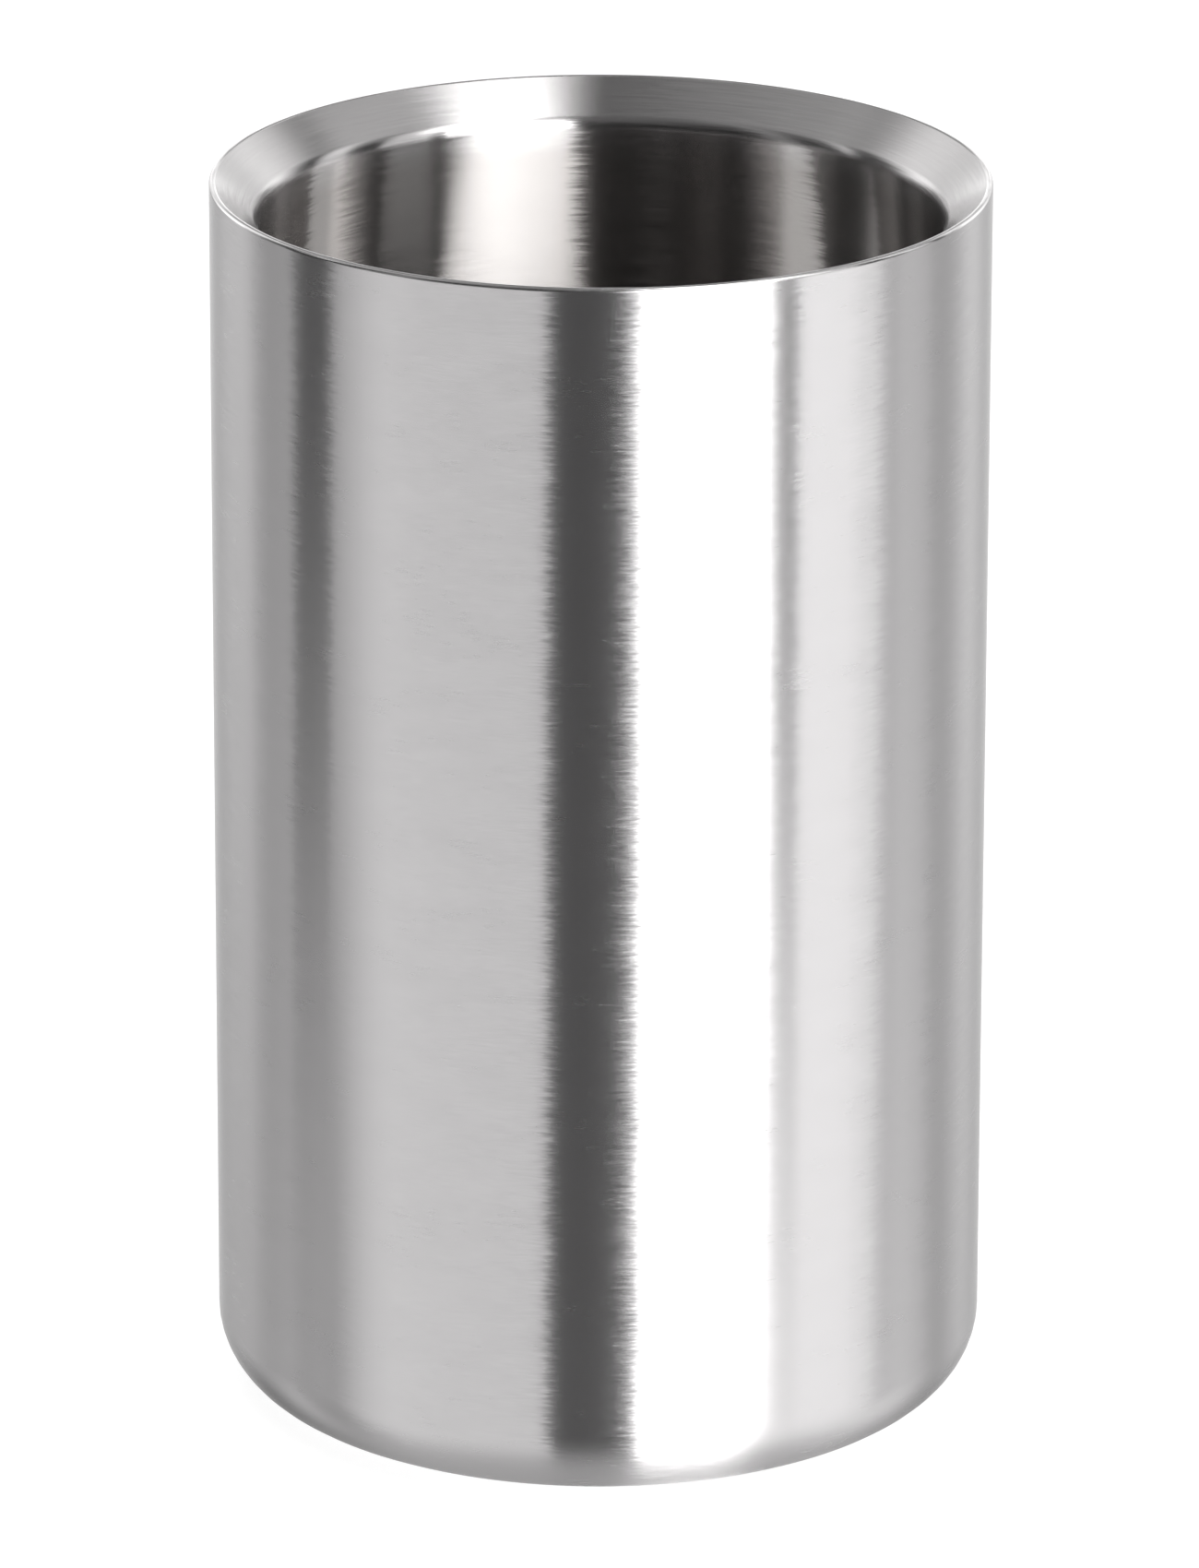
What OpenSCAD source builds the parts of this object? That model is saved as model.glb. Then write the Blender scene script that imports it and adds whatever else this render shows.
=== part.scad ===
// Double-walled bottle cooler in brushed stainless steel.
// An outer shell and an inner liner, both of thin sheet, meet at a rounded lip and
// enclose an air gap. A cover plate closes the shell's base, and the cooler stands
// on a soft pad. Origin: centre of the base, in the plane that it stands on. +Z is up.

/* [Shell] */
// Outside diameter of the shell
outer_d = 120; // [114:1:150]
// Height of the whole cooler, from the pad's underside to the top of the lip
height = 196; // [150:1:260]
// Thickness of the steel sheet in the shell, the liner and the cover
sheet_t = 0.6; // [0.5:0.1:1]
// Outside radius of the bend where the shell turns under
base_corner = 12; // [8:1:15]
// Width of the flat flange that the shell turns in to, under the base
flange_w = 5; // [4:0.5:8]

/* [Liner] */
// Inside diameter of the well that holds the bottle
well_d = 105; // [94:1:107]
// Slope of the funnel below the horizontal, from the lip down to the well, in degrees
funnel_slope = 41.5; // [25:0.5:50]
// Radius of the ridge between the funnel and the wall of the well
ridge_r = 3; // [1.5:0.5:5]
// Inside radius between the wall of the well and its floor
floor_corner = 10; // [5:1:18]
// Clear air gap between the liner's floor and the cover plate
floor_gap = 8; // [4:1:20]

/* [Base] */
// How far the cover plate overlaps the shell's flange
lap_w = 3.5; // [2:0.5:4]
// Size of the fillet weld between the flange and the cover plate
seam_w = 0.5; // [0.3:0.1:0.6]
// Thickness of the soft pad
pad_t = 2; // [1.8:0.1:4]
// How far the pad stands proud of the shell's flange
pad_proud = 0.5; // [0.3:0.1:0.8]
// Ring of bare cover plate left round the pad, on the raised middle
pad_margin = 1; // [0.5:0.5:3]

/* [Hidden] */
$fn = 144;

// Steps in each quarter turn of a rounded outline
quarter_steps = 16;

shell_r = outer_d / 2;
well_r = well_d / 2;

// The lip is one bead, as thick as the sheet, round the circle where both sheets end.
lip = [shell_r - sheet_t, height - sheet_t];

// Directions in an outline are angles from the outward radius, so this one faces up and inwards.
funnel_normal = 90 + funnel_slope;

// The ridge turns the sheet from the funnel's slope to the upright wall of the well.
// Its centre lies ridge_r behind both faces, and the funnel's sheet ends at the lip.
ridge_x = well_r + ridge_r;
ridge = [ridge_x, lip[1] - (lip[0] - ridge_x) * tan(funnel_slope) - (ridge_r - sheet_t) / cos(funnel_slope)];

// Heights in the base, from the pad's underside up
flange_z = pad_proud;
lap_z = flange_z + sheet_t;
cover_z = pad_t;
floor_z = cover_z + sheet_t + floor_gap + sheet_t;

// Radii in the base, from the shell's bend inwards
flange_r = shell_r - base_corner - flange_w;
lap_r = flange_r + lap_w;
step_r = flange_r - seam_w;
raised_r = step_r - (cover_z - lap_z);
pad_r = raised_r - pad_margin;

steel = [0.76, 0.76, 0.75];
steel_inside = [0.70, 0.70, 0.69];
steel_polished = [0.86, 0.86, 0.86];
steel_pressed = [0.66, 0.66, 0.66];
weld = [0.58, 0.56, 0.54];
soft_pad = [0.12, 0.12, 0.13];

// The unit step in direction a
function toward(a) = [cos(a), sin(a)];

// The points of an arc about centre c, from direction a to direction b
function arc(c, r, a, b) =
    let (n = ceil(abs(b - a) / 90 * quarter_steps))
    [for (i = [0:n]) c + r * toward(a + (b - a) * i / n)];

// Every piece is round: this turns its outline of [radius, height] points about the upright axis.
module turned(outline) {
    rotate_extrude() polygon(outline);
}

// Straight wall, base bend and flat flange, drawn from one sheet
module outer_shell() {
    bend = [shell_r - base_corner, flange_z + base_corner];
    color(steel) turned(concat(
        [[flange_r, flange_z]],
        arc(bend, base_corner, -90, 0),
        [[shell_r, lip[1]], lip],
        arc(bend, base_corner - sheet_t, 0, -90),
        [[flange_r, lap_z]]
    ));
}

// Drawn cup whose wall turns out over the ridge and up the funnel to the lip
module inner_liner() {
    bend = [well_r - floor_corner, floor_z + floor_corner];
    color(steel_inside) turned(concat(
        [[0, floor_z - sheet_t]],
        arc(bend, floor_corner + sheet_t, -90, 0),
        arc(ridge, ridge_r - sheet_t, 180, funnel_normal),
        [lip, lip + sheet_t * toward(funnel_normal)],
        arc(ridge, ridge_r, funnel_normal, 180),
        arc(bend, floor_corner, 0, -90),
        [[0, floor_z]]
    ));
}

// Weld bead between the shell's top edge and the funnel's end, polished round
module lip_seam() {
    color(steel_polished) turned(concat([lip], arc(lip, sheet_t, 0, funnel_normal)));
}

// Pressed plate: its rim laps on the flange, and its raised middle takes the pad
module base_cover() {
    color(steel_pressed) turned([
        [0, cover_z], [raised_r, cover_z], [step_r, lap_z], [lap_r, lap_z],
        [lap_r, lap_z + sheet_t], [step_r, lap_z + sheet_t],
        [raised_r, cover_z + sheet_t], [0, cover_z + sheet_t]
    ]);
}

// Hollow fillet weld between the flange's inner edge and the cover plate
module base_seam() {
    color(weld) turned(concat([[flange_r, lap_z]], arc([step_r, lap_z - seam_w], seam_w, 90, 0)));
}

// Disc of soft foam, glued to the raised middle of the cover plate
module base_pad() {
    color(soft_pad) cylinder(h = pad_t, r = pad_r);
}

outer_shell();
inner_liner();
lip_seam();
base_cover();
base_seam();
base_pad();
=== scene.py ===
# A double-walled bottle cooler in brushed steel, on a pale floor under soft studio light.
import math

import bmesh
import bpy
from mathutils import Matrix, Vector


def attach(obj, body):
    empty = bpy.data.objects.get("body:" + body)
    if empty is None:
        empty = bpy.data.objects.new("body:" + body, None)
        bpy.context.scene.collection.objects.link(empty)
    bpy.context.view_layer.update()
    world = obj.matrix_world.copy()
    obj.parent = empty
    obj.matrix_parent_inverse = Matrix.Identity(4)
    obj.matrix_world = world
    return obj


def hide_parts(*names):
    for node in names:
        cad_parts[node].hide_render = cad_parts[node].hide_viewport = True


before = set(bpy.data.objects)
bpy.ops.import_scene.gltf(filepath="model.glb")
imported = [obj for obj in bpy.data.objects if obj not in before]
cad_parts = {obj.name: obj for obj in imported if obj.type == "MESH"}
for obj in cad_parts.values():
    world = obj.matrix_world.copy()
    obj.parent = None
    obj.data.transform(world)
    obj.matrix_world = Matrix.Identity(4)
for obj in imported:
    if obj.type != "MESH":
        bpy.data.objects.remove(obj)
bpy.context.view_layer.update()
print("loaded", len(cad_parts), "CAD nodes")

mm = 0.001
white = (1, 1, 1, 1)


# Shader helpers

# A number on its way through a shader: an expression on it adds the Math nodes.
class Number:
    def __init__(self, graph, socket):
        self.graph = graph
        self.socket = socket

    def maths(self, operation, *others):
        values = [self.socket] + [getattr(o, "socket", o) for o in others]
        node = self.graph.node("ShaderNodeMath", {"operation": operation}, dict(enumerate(values)))
        return Number(self.graph, node.outputs[0])

    def turned(self, operation, other):
        node = self.graph.node("ShaderNodeMath", {"operation": operation}, {0: other, 1: self.socket})
        return Number(self.graph, node.outputs[0])

    def __add__(self, other):
        return self.maths("ADD", other)

    def __radd__(self, other):
        return self.turned("ADD", other)

    def __sub__(self, other):
        return self.maths("SUBTRACT", other)

    def __rsub__(self, other):
        return self.turned("SUBTRACT", other)

    def __mul__(self, other):
        return self.maths("MULTIPLY", other)

    def __rmul__(self, other):
        return self.turned("MULTIPLY", other)

    def __truediv__(self, other):
        return self.maths("DIVIDE", other)

    def __rtruediv__(self, other):
        return self.turned("DIVIDE", other)

    def __neg__(self):
        return self.turned("SUBTRACT", 0.0)

    # 0 below low, 1 above high, and a soft step between them
    def rise(self, low, high):
        node = self.graph.node(
            "ShaderNodeMapRange",
            {"interpolation_type": "SMOOTHSTEP"},
            {"Value": self, "From Min": low, "From Max": high},
        )
        return Number(self.graph, node.outputs["Result"])


class Graph:
    def __init__(self, tree):
        self.tree = tree
        tree.nodes.clear()

    # Any node: its settings go first, then the values or links of its sockets.
    def node(self, kind, settings=None, sockets=None):
        made = self.tree.nodes.new(kind)
        for name, value in (settings or {}).items():
            setattr(made, name, value)
        for name, value in (sockets or {}).items():
            value = getattr(value, "socket", value)
            if isinstance(value, bpy.types.NodeSocket):
                self.tree.links.new(value, made.inputs[name])
            else:
                made.inputs[name].default_value = value
        return made

    def split(self, vector):
        made = self.node("ShaderNodeSeparateXYZ", None, {0: vector})
        return [Number(self, made.outputs[i]) for i in range(3)]

    def join(self, x, y, z):
        return self.node("ShaderNodeCombineXYZ", None, {0: x, 1: y, 2: z}).outputs[0]

    def vectors(self, operation, *values):
        node = self.node("ShaderNodeVectorMath", {"operation": operation}, dict(enumerate(values)))
        return node.outputs[0]

    def scaled(self, vector, factor):
        made = self.node("ShaderNodeVectorMath", {"operation": "SCALE"}, {0: vector, "Scale": factor})
        return made.outputs[0]

    def mix(self, factor, first, second):
        made = self.node("ShaderNodeMix", {"data_type": "RGBA"}, {0: factor, 6: first, 7: second})
        return made.outputs[2]

    def finish(self, kind, sockets, output="ShaderNodeOutputMaterial"):
        shader = self.node(kind, None, sockets)
        self.node(output, None, {"Surface": shader.outputs[0]})

    def noise(self, vector, detail, roughness):
        sockets = {"Vector": vector, "Scale": 1.0, "Detail": detail, "Roughness": roughness}
        return Number(self, self.node("ShaderNodeTexNoise", None, sockets).outputs[0])


# Camera

view = {
    "distance": 1.625,  # from the axis, level
    "height": 0.659,
    "pitch": 19.05,  # degrees below level
    "roll": 0.146,  # degrees
    "lens": 253.2,
    "sensorWidth": 36,  # like the lens, in millimetres
    "nearest": 0.05,
    "farthest": 60,
}


def makeCamera():
    data = bpy.data.cameras.new("photoCamera")
    data.sensor_width = view["sensorWidth"]
    data.lens = view["lens"]
    data.clip_start = view["nearest"]
    data.clip_end = view["farthest"]
    camera = bpy.data.objects.new("photoCamera", data)
    bpy.context.scene.collection.objects.link(camera)
    turn = Matrix.Rotation(math.radians(90 - view["pitch"]), 4, "X")
    roll = Matrix.Rotation(math.radians(view["roll"]), 4, "Z")
    camera.matrix_world = Matrix.Translation((0, -view["distance"], view["height"])) @ turn @ roll
    bpy.context.scene.camera = camera


makeCamera()
print("camera set")


# Modelling helpers

meshing = {
    "steps": 240,  # round the axis
    "bendSteps": 12,
    "baseSteps": 180,
    "baseBendSteps": 4,
    "lipSteps": 10,
    "mergeWithin": 1e-6,
    "dropEdgesUnder": 1e-7,
    "sharpAngle": 32,  # degrees
}


# A closed section in the X-Z plane: points are (radius, height, bend radius) in millimetres.
# A point with a bend radius is rounded with a vertex bevel, then the section is turned about Z.
def turnSection(name, points, steps=meshing["steps"], bendSteps=meshing["bendSteps"]):
    mesh = bmesh.new()
    corners = [mesh.verts.new((r * mm, 0, z * mm)) for r, z, bend in points]
    section = mesh.faces.new(corners)
    for i, (r, z, bend) in enumerate(points):
        if not bend:
            continue
        before = Vector(points[i - 1][:2]) - Vector((r, z))
        after = Vector(points[(i + 1) % len(points)][:2]) - Vector((r, z))
        half = before.angle(after) / 2
        bmesh.ops.bevel(
            mesh,
            geom=[corners[i]],
            offset=bend * mm / math.tan(half),
            offset_type="OFFSET",
            affect="VERTICES",
            segments=bendSteps,
            profile=0.5,
            material=-1,
        )
    bmesh.ops.delete(mesh, geom=mesh.faces[:], context="FACES_ONLY")
    return turnOutline(name, mesh, steps)


# Turns an outline of edges once about Z into a closed skin.
def turnOutline(name, mesh, steps):
    bmesh.ops.spin(
        mesh,
        geom=mesh.edges[:],
        cent=(0, 0, 0),
        axis=(0, 0, 1),
        angle=2 * math.pi,
        steps=steps,
        use_merge=True,
    )
    bmesh.ops.remove_doubles(mesh, verts=mesh.verts[:], dist=meshing["mergeWithin"])
    bmesh.ops.dissolve_degenerate(mesh, edges=mesh.edges[:], dist=meshing["dropEdgesUnder"])
    bmesh.ops.recalc_face_normals(mesh, faces=mesh.faces[:])
    return finishPiece(name, mesh)


def finishPiece(name, mesh):
    data = bpy.data.meshes.new(name)
    for face in mesh.faces:
        face.smooth = True
    mesh.to_mesh(data)
    mesh.free()
    data.set_sharp_from_angle(angle=math.radians(meshing["sharpAngle"]))
    piece = bpy.data.objects.new(name, data)
    bpy.context.scene.collection.objects.link(piece)
    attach(piece, "root")
    return piece


# Brushed steel

# what all the brushed pieces share
brushing = {
    "innerRadius": 0.001,  # keeps the middle of a floor from dividing by nought
    "lineDetail": 1.0,
    "lineRoughness": 0.5,
    "coarseShade": 1.2,
    "fineShade": 0.8,
    "turn": 0.25,  # a quarter turn, so that reflections spread up and down and stay narrow sideways
}


# The brush runs round the axis: long fine lines, each tipped a little round the axis and rocked
# up or down, so that the edges of reflections break up line by line.
# Lines and patches are (length, width) in millimetres. A steel may carry painted shade: a darker colour
# below a given height, standing in for the shade inside the well.
def makeSteel(name, look):
    material = bpy.data.materials.new(name)
    material.use_nodes = True
    graph = Graph(material.node_tree)
    place = graph.node("ShaderNodeTexCoord").outputs["Object"]
    x, y, z = graph.split(place)
    radius = (x * x + y * y).maths("SQRT").maths("MAXIMUM", brushing["innerRadius"])
    across = z + radius

    def lines(length, width):
        spot = graph.join(x / (length * mm), y / (length * mm), across / (width * mm))
        return graph.noise(spot, brushing["lineDetail"], brushing["lineRoughness"]) - 0.5

    fine = lines(*look["fineLines"])
    coarse = lines(*look["coarseLines"])
    patches = lines(*look["patches"])
    tip = fine * look["fineTip"] + coarse * look["coarseTip"] + patches * look["patchTip"]
    rock = fine * look["fineRock"] + coarse * look["coarseRock"]
    alongBrush = graph.join(-y / radius, x / radius, 0.0)
    normal = graph.node("ShaderNodeNewGeometry").outputs["Normal"]
    bent = graph.vectors("ADD", normal, graph.scaled(alongBrush, tip))
    bent = graph.vectors("ADD", bent, graph.join(0.0, 0.0, rock))
    bent = graph.vectors("NORMALIZE", bent)
    shade = (coarse * brushing["coarseShade"] + fine * brushing["fineShade"] + 0.5).rise(0.0, 1.0)
    colour = graph.mix(shade, look["dark"] + (1,), look["light"] + (1,))
    # painted shade: below its edge height the colour darkens, for the shade that falls inside the well
    if "paintedShade" in look:
        low, high = look["paintedShadeEdge"]
        colour = graph.mix(z.rise(low * mm, high * mm), look["paintedShade"] + (1,), colour)
    rough = look["rough"] + fine * look["fineRough"] + (coarse + patches) * look["roughSpread"]
    graph.finish(
        "ShaderNodeBsdfPrincipled",
        {
            "Base Color": colour,
            "Metallic": 1.0,
            "Roughness": rough,
            "Anisotropic": look["brush"],
            "Anisotropic Rotation": brushing["turn"],
            "Normal": bent,
        },
    )
    return material


def makeGlow(name, bright):
    material = bpy.data.materials.new(name)
    material.use_nodes = True
    graph = Graph(material.node_tree)
    graph.finish("ShaderNodeEmission", {"Color": white, "Strength": bright})
    return material


def makePlain(name, look):
    material = bpy.data.materials.new(name)
    material.use_nodes = True
    graph = Graph(material.node_tree)
    graph.finish(
        "ShaderNodeBsdfPrincipled",
        {
            "Base Color": look["colour"] + (1,),
            "Roughness": look["rough"],
            "Metallic": look["metal"],
            "Emission Color": white,
            "Emission Strength": look["glow"],
        },
    )
    return material


# Outer shell: straight wall, bend and flange, from one sheet

shell = {
    "radius": 60.0,
    "sheet": 0.6,
    "bottom": 0.5,
    "top": 195.4,
    "bend": 12.0,
    "flangeRadius": 43.0,
    "steel": {
        "dark": (0.613, 0.601, 0.605),
        "light": (0.623, 0.611, 0.615),
        "rough": 0.26,
        "fineRough": 0.035,
        "roughSpread": 0.03,
        "brush": 1.0,
        "fineLines": (2.2, 0.26),
        "fineTip": 0.024,
        "fineRock": 0.04,
        "coarseLines": (5.0, 0.5),
        "coarseTip": 0.025,
        "coarseRock": 0.012,
        "patches": (12.0, 5.0),
        "patchTip": 0.012,
    },
}


def makeShell():
    outer, sheet = shell["radius"], shell["sheet"]
    low, top = shell["bottom"], shell["top"]
    piece = turnSection(
        "outerShell",
        [
            (shell["flangeRadius"], low, 0),
            (outer, low, shell["bend"]),
            (outer, top, 0),
            (outer - sheet, top, 0),
            (outer - sheet, low + sheet, shell["bend"] - sheet),
            (shell["flangeRadius"], low + sheet, 0),
        ],
    )
    piece.data.materials.append(makeSteel("shellSteel", shell["steel"]))
    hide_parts("outer_shell")


makeShell()
print("outer shell made")


# Inner liner: floor, wall of the well, ridge and funnel

liner = {
    "wellRadius": 52.5,
    "floor": 11.2,
    "floorBend": 10.0,
    "slope": 41.5,  # degrees below level, from the lip inwards
    "ridge": 3.0,
    "steel": {
        "dark": (0.458, 0.448, 0.448),
        "light": (0.499, 0.488, 0.488),
        "rough": 0.205,
        "fineRough": 0.03,
        "roughSpread": 0.02,
        "brush": 1.0,
        "fineLines": (6.0, 0.2),
        "fineTip": 0.03,
        "fineRock": 0.14,
        "coarseLines": (16.0, 0.5),
        "coarseTip": 0.02,
        "coarseRock": 0.06,
        "patches": (15.0, 6.0),
        "patchTip": 0.006,
        "paintedShade": (0.375, 0.361, 0.353),  # painted shade: the well below the ridge drawn darker than its steel, for the shade that falls inside it
        "paintedShadeEdge": (184.0, 190.0),
    },
}
slope = math.radians(liner["slope"])
lipRadius = shell["radius"] - shell["sheet"]
# where the funnel's upper face starts
funnelTop = (
    lipRadius - shell["sheet"] * math.sin(slope),
    shell["top"] + shell["sheet"] * math.cos(slope),
)


def makeLiner():
    well, sheet, floor = liner["wellRadius"], shell["sheet"], liner["floor"]
    kneeUpper = funnelTop[1] - (funnelTop[0] - well) * math.tan(slope)
    kneeLower = shell["top"] - (lipRadius - well - sheet) * math.tan(slope)
    piece = turnSection(
        "innerLiner",
        [
            (0, floor - sheet, 0),
            (well + sheet, floor - sheet, liner["floorBend"] + sheet),
            (well + sheet, kneeLower, liner["ridge"] - sheet),
            (lipRadius, shell["top"], 0),
            (funnelTop[0], funnelTop[1], 0),
            (well, kneeUpper, liner["ridge"]),
            (well, floor, liner["floorBend"]),
            (0, floor, 0),
        ],
    )
    piece.data.materials.append(makeSteel("linerSteel", liner["steel"]))
    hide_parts("inner_liner")


makeLiner()
print("inner liner made")


# Lip: the weld bead where the two sheets end, polished round

lip = {
    "steel": {
        "dark": (0.57, 0.56, 0.56),
        "light": (0.63, 0.62, 0.62),
        "rough": 0.22,
        "fineRough": 0.0,
        "roughSpread": 0.08,
        "brush": 0.7,
        "fineLines": (4.0, 0.12),
        "fineTip": 0.10,
        "fineRock": 0.05,
        "coarseLines": (12.0, 0.5),
        "coarseTip": 0.05,
        "coarseRock": 0.02,
        "patches": (15.0, 6.0),
        "patchTip": 0.03,
    },
}


def makeLip():
    mesh = bmesh.new()
    middle = mesh.verts.new((lipRadius * mm, 0, shell["top"] * mm))
    start = mesh.verts.new((shell["radius"] * mm, 0, shell["top"] * mm))
    bmesh.ops.spin(
        mesh,
        geom=[start],
        cent=middle.co,
        axis=(0, -1, 0),
        angle=math.pi / 2 + slope,
        steps=meshing["lipSteps"],
        use_merge=False,
    )
    ends = [v for v in mesh.verts if v != middle and len(v.link_edges) < 2]
    for end in ends:
        mesh.edges.new((middle, end))
    piece = turnOutline("lipSeam", mesh, meshing["steps"])
    piece.data.materials.append(makeSteel("lipSteel", lip["steel"]))
    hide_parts("lip_seam")


makeLip()
print("lip made")


# Base: cover plate, its weld and the soft pad

base = {
    "lapRadius": 46.5,
    "lapBend": 0.15,
    "stepRadius": 42.5,
    "raisedRadius": 41.6,
    "raised": 2.0,
    "raisedBend": 0.5,
    "upperBend": 0.3,
    "seamWidth": 0.5,
    "seamBulge": 0.3,  # share of the seam's width that its face stands out by
    "seamBend": 0.2,
    "padRadius": 40.6,
    "padEdge": 0.35,
    "coverSteel": {"colour": (0.5, 0.5, 0.495), "rough": 0.38, "metal": 1.0, "glow": 0.0},
    "weldSteel": {"colour": (0.33, 0.31, 0.29), "rough": 0.5, "metal": 1.0, "glow": 0.0},
    "padRubber": {"colour": (0.035, 0.035, 0.04), "rough": 0.8, "metal": 0.0, "glow": 0.0},
}
# the level at which the shell's flange and the cover plate lap
lap = shell["bottom"] + shell["sheet"]


def turnBasePiece(name, points, material):
    piece = turnSection(name, points, meshing["baseSteps"], meshing["baseBendSteps"])
    piece.data.materials.append(makePlain(material, base[material]))
    return piece


def makeCover():
    sheet, raised = shell["sheet"], base["raised"]
    cover = turnBasePiece(
        "baseCover",
        [
            (0, raised, 0),
            (base["raisedRadius"], raised, base["raisedBend"]),
            (base["stepRadius"], lap, 0),
            (base["lapRadius"], lap, 0),
            (base["lapRadius"], lap + sheet, base["lapBend"]),
            (base["stepRadius"], lap + sheet, base["upperBend"]),
            (base["raisedRadius"], raised + sheet, base["upperBend"]),
            (0, raised + sheet, 0),
        ],
        "coverSteel",
    )
    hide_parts("base_cover")


def makeWeld():
    seam = base["seamWidth"]
    bulge = seam * base["seamBulge"]
    weld = turnBasePiece(
        "baseSeam",
        [
            (shell["flangeRadius"], lap, 0),
            (base["stepRadius"], lap, 0),
            (base["stepRadius"] + bulge, lap - bulge, base["seamBend"]),
            (shell["flangeRadius"], lap - seam, 0),
        ],
        "weldSteel",
    )
    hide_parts("base_seam")


def makePad():
    pad = turnBasePiece(
        "basePad",
        [
            (0, 0, 0),
            (base["padRadius"], 0, base["padEdge"]),
            (base["padRadius"], base["raised"], 0),
            (0, base["raised"], 0),
        ],
        "padRubber",
    )
    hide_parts("base_pad")


makeCover()
makeWeld()
makePad()
print("base made")


# Studio: a pale floor, a soft light overhead, and soft strips and dark gaps all round.
# Directions are degrees round the axis, where 0 is behind the camera and positive is on its right.

studio = {
    # Brightness at five heights, from well below level up to straight above. The fill is everywhere.
    "fill": (0.10, 0.06, 0.012, 0.010, 0.22),
    # Strips add to the fill: (from, to, softness of the first side, softness of the second side,
    # brightness at the five heights). A brightness under nought takes light away.
    "strips": {
        "rearLeft": (-200, -146, 24, 24, (0.34, 0.80, 1.6, 0.3, 0.02)),
        "quarterLeft": (-164, -112, 24, 24, (0.10, 0.62, 2.1, 1.5, 0.28)),
        "sideLeft": (-136, -84, 10, 10, (0.45, 0.32, 0.05, 0.1, 0.32)),
        "sideLeftHigh": (-103, -94, 3, 3, (0.0, 0.0, 0.0, 1.8, 0.0)),
        "panelLeft": (-116, -14, 51, 3, (1.05, 1.08, 0.0, 0.0, 0.0)),
        "panelLeftHigh": (-74, -60, 2, 2, (0.0, 0.0, 0.2, 0.4, 0.3)),
        "panelLeftLow": (-108, -84, 6, 4, (-0.55, 0.0, 0.0, 0.0, 0.0)),
        "sideLeftLow": (-126, -106, 7, 7, (0.30, 0.0, 0.0, 0.0, 0.0)),
        "keyLow": (11.0, 49.0, 5, 5, (6.0, 8.0, 0.0, 0.0, 0.0)),
        "keyHigh": (4.5, 53, 7, 2, (0.0, 0.0, 4.0, 12.0, 0.0)),
        "keyTop": (29, 69, 5, 3, (0.0, 0.0, 0.0, 0.0, 4.5)),
        "panelRight": (45, 95, 5, 9, (1.2, 1.50, 0.0, 0.0, 0.0)),
        "panelRightHigh": (57, 80, 3, 3, (0.0, 0.0, 0.9, 1.3, 1.1)),
        "sideRight": (85, 134, 12, 20, (1.10, 0.50, 0.0, 0.0, 0.42)),
        "sideRightHigh": (93, 112, 4, 4, (0.0, 0.0, 0.8, 1.6, 0.5)),
        "quarterRight": (114, 164, 24, 24, (0.40, 0.78, 2.0, 1.35, 0.30)),
        "rearRight": (146, 200, 24, 24, (0.40, 0.80, 1.6, 0.3, 0.02)),
    },
    # where one height's brightness changes into the next, as the sine of the angle above level
    "edges": ((-0.6, -0.2), (-0.12, 0.05), (0.20, 0.46), (0.48, 0.72)),
    "lean": 7.0,  # degrees that the strips lean to the right, straight up
    # Grey cards that stand near the cooler: (direction, distance, width, bottom, top, grey), in metres.
    "flags": {
        "flagLeft": (-87.3, 0.42, 0.108, 0.0, 0.32, 0.03),
        "flagRight": (51.6, 0.42, 0.055, -0.02, 0.32, 0.05),
    },
    # Lamps in the well, each mirrored as an upright strip in the well's far side: (strip's left edge,
    # its right edge, lamp's bottom, its top, brightness). The edges are in degrees from straight back,
    # where positive is on the right, and the heights are in metres. The lamps lean back and are turned
    # away from the wall's own direction, so an upper corner of each stands outside the shell.
    "wellLamps": {
        "wellKey": (-29.3, -5.6, 0.130, 0.183, 3.5),
        "wellKeySide": (-43.0, -31.0, 0.15, 0.183, 0.42),
        "wellSide": (33.0, 43.5, 0.130, 0.183, 1.2),
        "wellQuarter": (52.5, 58.0, 0.12, 0.183, 0.6),
        "wellRear": (-65.5, -51.5, 0.135, 0.183, 0.9),
    },
    "wellLampRadius": 0.0515,
    "wellLampSpread": 90,  # degrees
    # the light from under the floor: where it begins and is full, as for the edges, and its brightness
    "underfoot": (0.62, 0.90, 0.55),
    "backdrop": 1.0,
    "floorRadius": 8,
    "floorSegments": 96,
    "floorPaint": {"colour": (0.2, 0.2, 0.2), "rough": 0.9, "metal": 0.0, "glow": 0.9},
    "softboxSize": 3.0,
    "softboxHeight": 2.5,
    "softboxPower": 90,
}


# The brightness at a height: each edge leads from one of the five values to the next.
def overHeights(edges, bright):
    total = bright[0]
    for edge, lower, upper in zip(edges, bright, bright[1:]):
        total = edge * (upper - lower) + total
    return total


# The surroundings that the steel mirrors. The camera sees the plain backdrop instead.
def makeWorld():
    world = bpy.data.worlds.new("studio")
    bpy.context.scene.world = world
    world.use_nodes = True
    graph = Graph(world.node_tree)
    toward = graph.node("ShaderNodeTexCoord").outputs["Generated"]
    x, y, z = graph.split(toward)
    around = x.maths("ARCTAN2", -y) * (180 / math.pi) - z.maths("MAXIMUM", 0.0) * studio["lean"]
    edges = [z.rise(low, high) for low, high in studio["edges"]]
    glow = overHeights(edges, studio["fill"])
    for start, end, startSoft, endSoft, bright in studio["strips"].values():
        inside = around.rise(start, start + startSoft) * (1 - around.rise(end - endSoft, end))
        glow = glow + inside * overHeights(edges, bright)
    start, end, bright = studio["underfoot"]
    underfoot = (-z).rise(start, end)
    glow = glow * (1 - underfoot) + underfoot * bright
    seen = Number(graph, graph.node("ShaderNodeLightPath").outputs["Is Camera Ray"])
    glow = glow * (1 - seen) + seen * studio["backdrop"]
    graph.finish("ShaderNodeBackground", {"Color": white, "Strength": glow}, "ShaderNodeOutputWorld")
    world.cycles_visibility.diffuse = False
    world.cycles.sampling_method = "NONE"  # found by reflection alone, so the floor doesn't hide it


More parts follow.
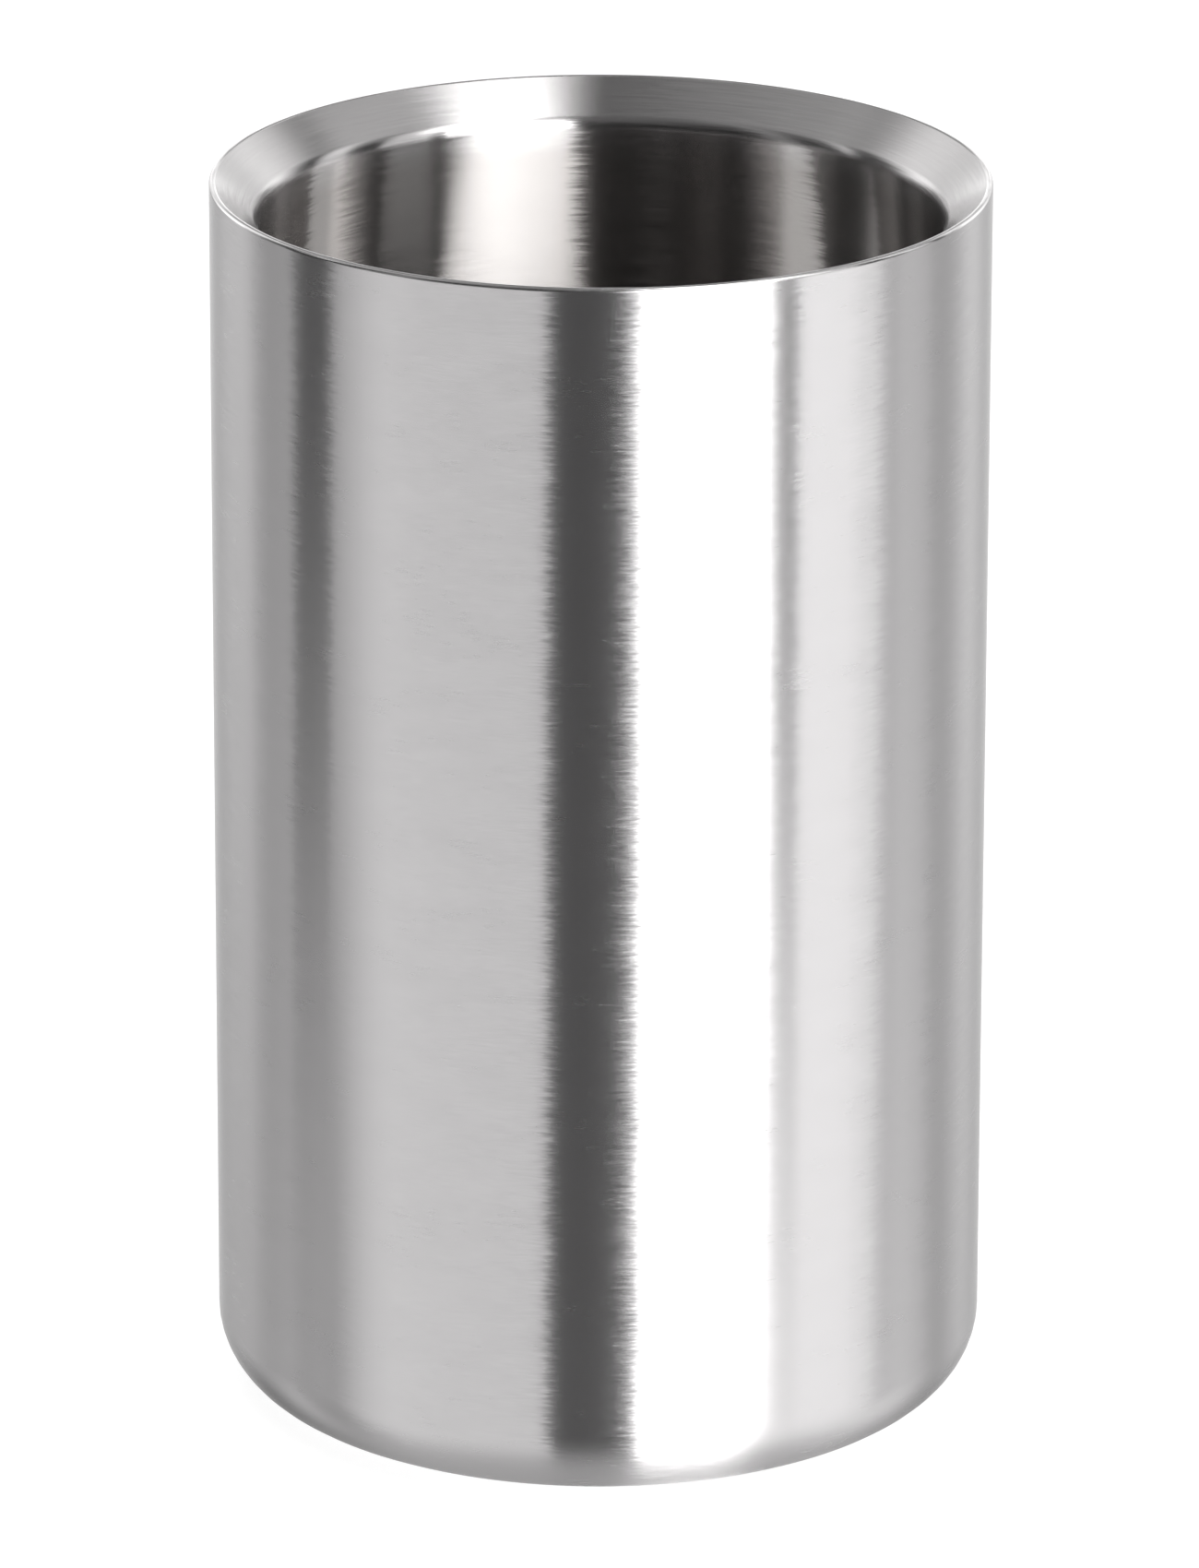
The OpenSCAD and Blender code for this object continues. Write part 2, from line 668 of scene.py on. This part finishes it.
# Only the steel mirrors a flag: it is hidden from the camera and casts no shadow.
def makeFlag(name, direction, distance, width, bottom, top, grey):
    mesh = bmesh.new()
    bmesh.ops.create_grid(mesh, x_segments=1, y_segments=1, size=0.5)
    bmesh.ops.scale(mesh, vec=(width, top - bottom, 1), verts=mesh.verts[:])
    upright = Matrix.Rotation(math.pi / 2, 4, "X")
    stand = Matrix.Translation((0, -distance, (top + bottom) / 2)) @ upright
    turn = Matrix.Rotation(math.radians(direction), 4, "Z")
    bmesh.ops.transform(mesh, matrix=turn @ stand, verts=mesh.verts[:])
    data = bpy.data.meshes.new(name)
    mesh.to_mesh(data)
    mesh.free()
    card = bpy.data.objects.new(name, data)
    card.data.materials.append(makeGlow(name, grey))
    bpy.context.scene.collection.objects.link(card)
    card.visible_camera = False
    card.visible_diffuse = False
    card.visible_shadow = False


# A level ray from the front that meets the well's wall at an angle a leaves it at 2a and lands at 3a.
def makeWellLamp(name, start, end, bottom, top, bright):
    radius = studio["wellLampRadius"]
    middle, half = math.radians((start + end) / 2), math.radians((end - start) / 2)
    outward = Vector((-math.sin(3 * middle), -math.cos(3 * middle), 0))
    rise = math.radians(view["pitch"])
    facing = Vector((math.sin(2 * middle), math.cos(2 * middle), math.tan(rise))).normalized()
    lamp = bpy.data.lights.new(name, "AREA")
    lamp.shape = "RECTANGLE"
    lamp.size = 2 * radius * math.sin(3 * half) * math.cos(middle)
    lamp.size_y = top - bottom
    spread = math.radians(studio["wellLampSpread"])
    lamp.spread = spread
    # the power that gives this brightness over the lamp's area, at this spread
    narrowed = 1 - spread / 2 / math.tan(spread / 2)
    lamp.energy = bright * math.pi * lamp.size * lamp.size_y * narrowed
    wellLamp = bpy.data.objects.new(name, lamp)
    place = outward * radius * math.cos(3 * half) + Vector((0, 0, (top + bottom) / 2))
    stand = Matrix.Translation(place)
    wellLamp.matrix_world = stand @ facing.to_track_quat("-Z", "Y").to_matrix().to_4x4()
    wellLamp.visible_camera = False
    wellLamp.visible_diffuse = False
    bpy.context.scene.collection.objects.link(wellLamp)


# The steel doesn't mirror the floor, which would hide the surroundings from the lower wall.
def makeFloor():
    mesh = bmesh.new()
    segments, radius = studio["floorSegments"], studio["floorRadius"]
    bmesh.ops.create_circle(mesh, cap_ends=True, segments=segments, radius=radius)
    data = bpy.data.meshes.new("floor")
    mesh.to_mesh(data)
    mesh.free()
    floor = bpy.data.objects.new("floor", data)
    floor.data.materials.append(makePlain("floorPaint", studio["floorPaint"]))
    bpy.context.scene.collection.objects.link(floor)
    floor.visible_glossy = False


def makeSoftbox():
    lamp = bpy.data.lights.new("overheadSoftbox", "AREA")
    lamp.shape = "DISK"
    lamp.size = studio["softboxSize"]
    lamp.energy = studio["softboxPower"]
    overheadLamp = bpy.data.objects.new("overheadSoftbox", lamp)
    overheadLamp.location = (0, 0, studio["softboxHeight"])
    overheadLamp.visible_camera = False
    overheadLamp.visible_glossy = False
    bpy.context.scene.collection.objects.link(overheadLamp)


makeWorld()
for name, card in studio["flags"].items():
    makeFlag(name, *card)
for name, strip in studio["wellLamps"].items():
    makeWellLamp(name, *strip)
makeFloor()
makeSoftbox()
bpy.context.scene.view_settings.view_transform = "Standard"
print("studio lit")
